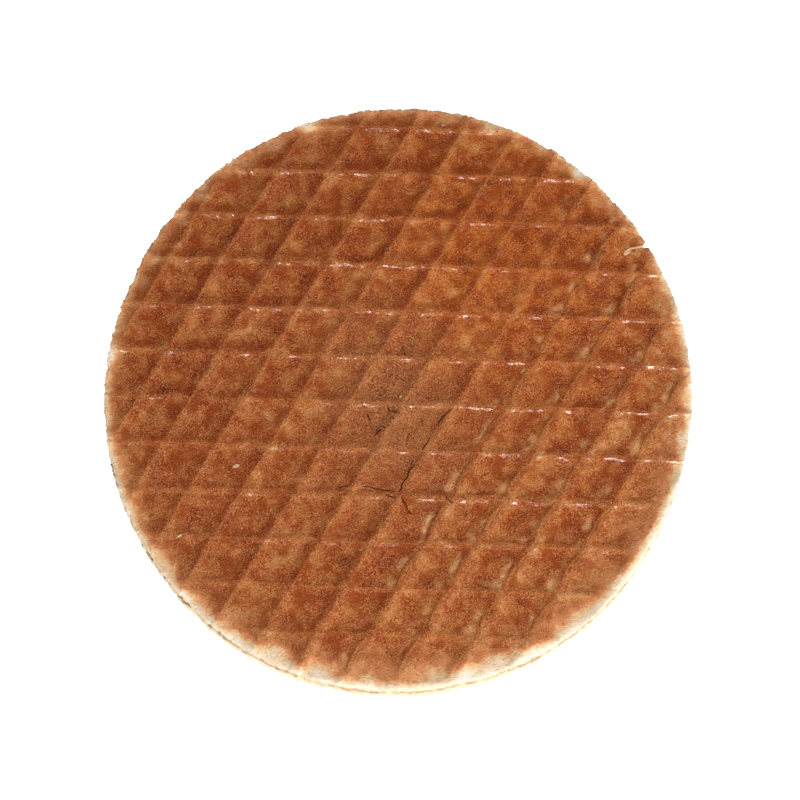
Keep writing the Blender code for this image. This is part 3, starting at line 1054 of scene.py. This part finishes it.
    def speckled(self, colour):
        """Grain, spots, creases and cracks, each darker or lighter than the crust. The dark in the hollows
        and the beads' light colour are painted shade and highlight.
        """
        graininess = self.map(self.amber, 0.0, 1.0, 1.10, 0.28)
        lit_grain = self.times(self.map(self.fine, 0.50, 0.75), graininess)
        dark_grain = self.times(self.map(self.fine, 0.50, 0.20), graininess, 0.75)
        for share, strength, tone in (
            (lit_grain, 1.0, LIT_GRAIN),
            (dark_grain, 1.0, DARK_GRAIN),
            # The beads' lighter colour is a painted highlight.
            (self.beads, 0.4, BEAD_HIGHLIGHT),
            (self.specks, 0.4, SPECK),
            # The dark of pits, pores, creases and cracks is painted shade in these hollows.
            (self.pits, 0.35, PIT_SHADE),
            (self.pores, 0.7, PORE_SHADE),
            (self.creases, 0.85, CREASE_SHADE),
            (self.cracks, 0.9, CRACK_SHADE),
        ):
            colour = self.mix(self.times(share, strength), colour, tone)
        return colour

    def faded(self, colour):
        """The unbrowned rim, ragged where the crust ends."""
        pale = self.add(
            self.mark("rim"),
            self.map(self.noise(1.6, 3.0, 0.6, 12.0), 0.2, 0.8, -0.32, 0.32),
            self.map(self.grain, 0.2, 0.8, -0.18, 0.18),
        )
        return self.mix(self.map(pale, -0.25, 0.35), colour, self.ramp(pale, FADING))

    def finish_surface(self):
        roughness = self.add(self.map(self.grain, 0.3, 0.7, 0.42, 0.66), self.times(self.crumb, 0.25))
        self.surface("Roughness", roughness)
        self.surface("Specular IOR Level", 0.08)
        # Grease lies along the level ridges and in tiny beads elsewhere.
        self.surface("Coat Weight", self.math("MAXIMUM", self.grease, self.times(self.beads, 0.7)))
        self.surface("Coat Roughness", 0.17)
        self.surface("Coat IOR", 1.65)
        raised = self.add(
            self.grain,
            self.times(self.fine, 1.3),
            self.times(self.specks, 0.3),
            self.times(self.beads, 0.5),
            self.times(self.torn, 0.6),
            self.times(self.crest, self.map(self.sparse, 0.3, 0.7, 0.0, 0.4)),
        )
        sunk = self.add(self.pores, self.times(self.pits, 0.4), self.times(self.creases, 0.15), self.cracks)
        self.surface("Normal", self.bump(self.math("SUBTRACT", raised, sunk), 0.17 * MM))
        self.surface("Coat Normal", self.bump(self.mottle, 0.03 * MM))


def syrup_material():
    nodes = Nodes(bpy.data.materials.new("caramel_syrup"))
    tone = nodes.noise(1.5, 3.0, 0.5)
    swirl = nodes.noise(0.6, 3.0, 0.5, 2.0)
    nodes.surface("Base Color", nodes.ramp(tone, SYRUP))
    nodes.surface("Roughness", nodes.map(tone, 0.3, 0.7, 0.22, 0.4))
    nodes.surface("Normal", nodes.bump(swirl, 0.08 * MM))
    return nodes.owner


def floor_material():
    nodes = Nodes(bpy.data.materials.new("pale_floor"))
    nodes.surface("Base Color", nodes.ramp(nodes.noise(60, 2.0, 0.5), FLOOR))
    nodes.surface("Roughness", 0.9)
    nodes.surface("Emission Color", WHITE)
    nodes.surface("Emission Strength", 1.0)
    return nodes.owner


# -------- camera and light

FRAME_WIDTH = 108.3 * MM  # what the picture spans at the upper face
CAMERA_DISTANCE = 0.9
CAMERA_TILT = math.radians(11.0)  # away from straight down, towards -Y
AIM = Vector((0.27 * MM, -0.41 * MM, TOP_CREST))
SENSOR_WIDTH = 36.0
# Each light's azimuth and elevation in degrees, size, power and tint.
KEY_LIGHT = (-52.0, 42.0, 0.16, 1.65, (1.0, 1.0, 1.0))
FRONT_LIGHT = (-94.0, 48.0, 0.07, 0.36, (1.0, 0.90, 0.84))
LIGHT_DISTANCE = 0.45
SKY_LIGHT = 0.32
HORIZON_LIGHT = 1.2
HORIZON_TOP = 0.45  # height of a direction where the horizon's light has faded
FLOOR_RADIUS = 3.0
FLOOR_POINTS = 96
FLOOR_GAP = 0.02 * MM


def aim_from(obj, back, target, distance):
    """Places a camera or light at distance from its target, looking at it."""
    obj.location = target + back * distance
    obj.rotation_mode = "QUATERNION"
    obj.rotation_quaternion = (-back).to_track_quat("-Z", "Y")


def add_camera():
    data = bpy.data.cameras.new("camera")
    data.sensor_width = SENSOR_WIDTH
    data.lens = SENSOR_WIDTH * CAMERA_DISTANCE / FRAME_WIDTH
    camera = new_object("camera", data)
    back = Vector((0.0, -math.sin(CAMERA_TILT), math.cos(CAMERA_TILT)))
    aim_from(camera, back, AIM, CAMERA_DISTANCE)
    bpy.context.scene.camera = camera


def add_light(name, azimuth, elevation, size, power, tint):
    data = bpy.data.lights.new(name, "AREA")
    data.shape = "DISK"
    data.size = size
    data.energy = power
    data.color = tint
    a, e = math.radians(azimuth), math.radians(elevation)
    back = Vector((math.cos(a) * math.cos(e), math.sin(a) * math.cos(e), math.sin(e)))
    aim_from(new_object(name, data), back, Vector(), LIGHT_DISTANCE)


def add_world():
    """White to the camera; as light, a softer white overhead than round the horizon."""
    world = bpy.data.worlds.new("studio")
    nodes = Nodes(world, "Background")
    place = nodes.new("ShaderNodeTexCoord").outputs["Generated"]
    height = nodes.new("ShaderNodeSeparateXYZ", Vector=place).outputs["Z"]
    light = nodes.map(height, 0.0, HORIZON_TOP, HORIZON_LIGHT, SKY_LIGHT)
    seen = nodes.new("ShaderNodeLightPath").outputs["Is Camera Ray"]
    nodes.surface("Color", WHITE)
    nodes.surface("Strength", nodes.map(seen, 0.0, 1.0, light, 1.0))
    bpy.context.scene.world = world


def add_floor():
    shape = bmesh.new()
    bmesh.ops.create_circle(shape, cap_ends=True, segments=FLOOR_POINTS, radius=FLOOR_RADIUS)
    mesh = bpy.data.meshes.new("floor")
    shape.to_mesh(mesh)
    shape.free()
    mesh.materials.append(floor_material())
    floor = new_object("floor", mesh)
    floor.location.z = BOTTOM_CREST - FLOOR_GAP


def main():
    crust = Crust().owner
    top_face = Face(Lattice(TOP_CROSSING, False), 1, True)
    top = make_half("upper_wafer", top_face, TOP_CREST, TOP_INNER)
    bottom_face = Face(Lattice(UNDERSIDE_CROSSING, True), 500, False)
    bottom = make_half("lower_wafer", bottom_face, BOTTOM_CREST, BOTTOM_INNER)
    syrup = make_syrup("syrup_layer", BOTTOM_INNER + SYRUP_GAP, TOP_INNER - SYRUP_GAP)
    for piece, material, node, slot in (
        (top, crust, "wafer_top", "wafer"),
        (bottom, crust, "wafer_bottom", "wafer"),
        (syrup, syrup_material(), "caramel", "caramel"),
    ):
        piece.data.materials.append(material)
        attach(piece, "root")
        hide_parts(node)
    add_camera()
    add_light("key", *KEY_LIGHT)
    add_light("front", *FRONT_LIGHT)
    add_world()
    add_floor()
    bpy.context.scene.view_settings.view_transform = "Standard"


main()
